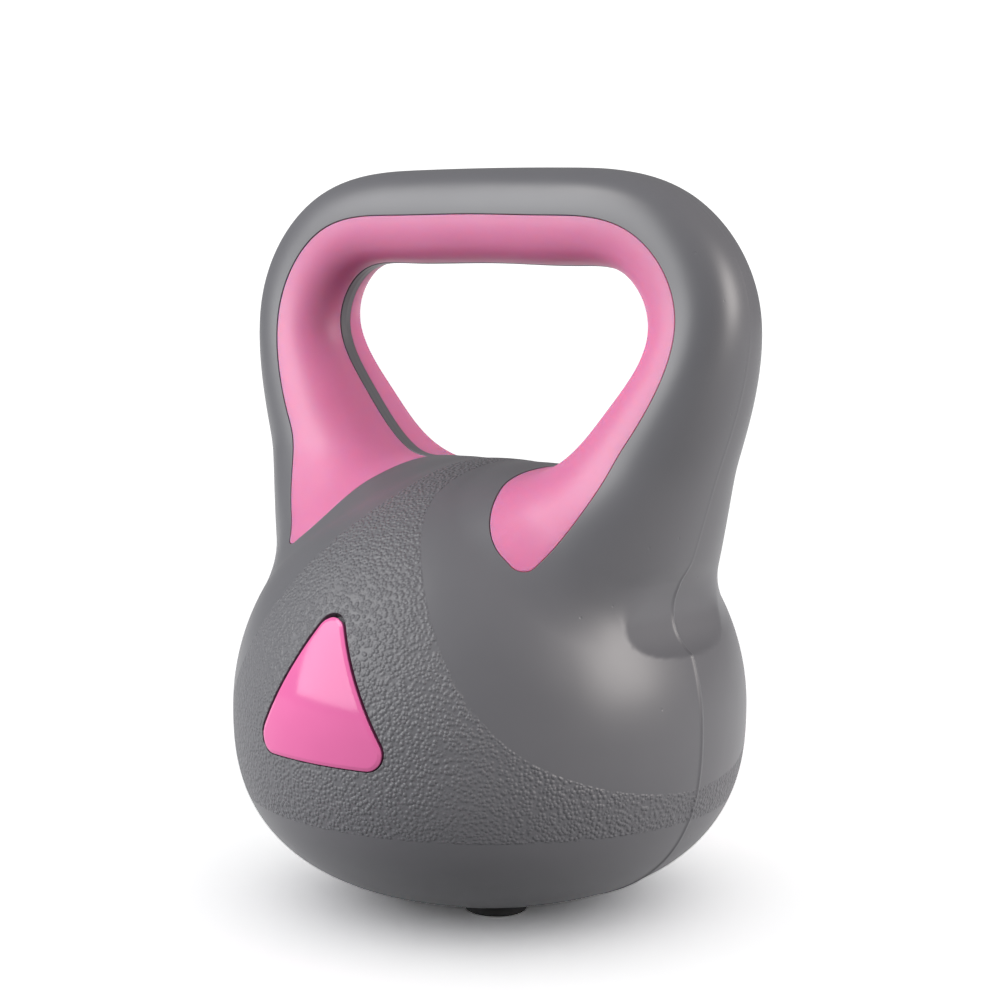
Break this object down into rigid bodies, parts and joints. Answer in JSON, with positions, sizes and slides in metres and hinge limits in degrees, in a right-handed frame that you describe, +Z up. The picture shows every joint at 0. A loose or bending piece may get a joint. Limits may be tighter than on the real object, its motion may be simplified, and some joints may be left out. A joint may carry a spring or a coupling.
{
  "type": "kettlebell",
  "caption": "Moulded plastic kettlebell with a mortar core, wide-window handle with soft-look coloured grip inlays, triangular badges, base plug and rubber feet.",
  "frame": {"origin": "on the floor plane, under the middle of the ball", "axes": "+Z up, X along the bar of the handle, -Y towards the front badge"},
  "size_m": [0.1924, 0.169, 0.2353],
  "materials": {
    "shell_grey": "satin blow-moulded polyethylene, pebble grain round the front and rear",
    "mortar": "rough cast mortar",
    "inlay_pink": "satin",
    "badge_gloss_pink": "glossy",
    "tape_white": "matt foam tape",
    "plug_grey": "satin",
    "rubber_black": "matt"
  },
  "bodies": {
    "root": {"body_shell": "shell_grey", "mortar_fill": "mortar", "front_grip_inlay": "inlay_pink", "rear_grip_inlay": "inlay_pink", "front_badge": "badge_gloss_pink", "rear_badge": "badge_gloss_pink", "front_badge_tape": "tape_white", "rear_badge_tape": "tape_white", "fill_plug": "plug_grey", "plug_seal": "rubber_black", "front_right_foot": "rubber_black", "front_left_foot": "rubber_black", "rear_right_foot": "rubber_black", "rear_left_foot": "rubber_black"}
  },
  "joints": []
}
